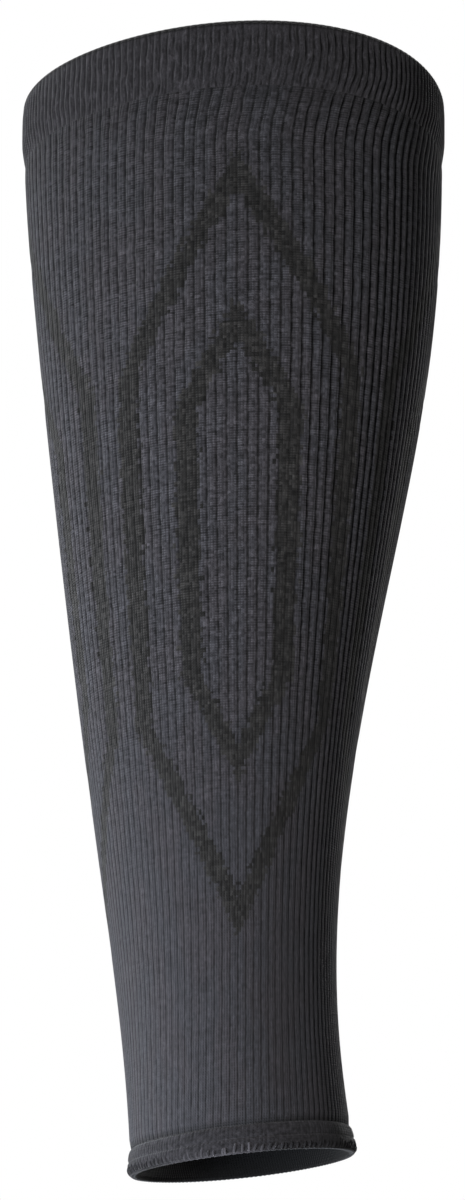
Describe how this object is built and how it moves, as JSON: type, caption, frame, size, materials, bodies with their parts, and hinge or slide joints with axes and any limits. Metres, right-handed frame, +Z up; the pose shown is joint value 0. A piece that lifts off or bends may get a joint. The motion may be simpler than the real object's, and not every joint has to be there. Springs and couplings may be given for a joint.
{
  "type": "compression leg warmer",
  "caption": "Rib-knitted compression sleeve for the lower leg, in its worn form: a tapering open tube with a doubled cuff under the knee and a turned hem at the ankle.",
  "frame": {"origin": "middle of the ankle opening, on the leg's axis", "axes": "+Z up the leg towards the knee, -Y towards the viewer of the picture, +X to the viewer's right, where the calf is fuller"},
  "size_m": [0.1202, 0.1332, 0.303],
  "materials": {
    "cuff_knit": "fine matte rib knit, charcoal",
    "sleeve_knit": "matte heathered rib knit, charcoal with darker knitted lines",
    "hem_knit": "matte plain knit, charcoal"
  },
  "bodies": {
    "root": {"top_cuff": "cuff_knit", "sleeve_body": "sleeve_knit", "ankle_hem": "hem_knit"}
  },
  "joints": []
}
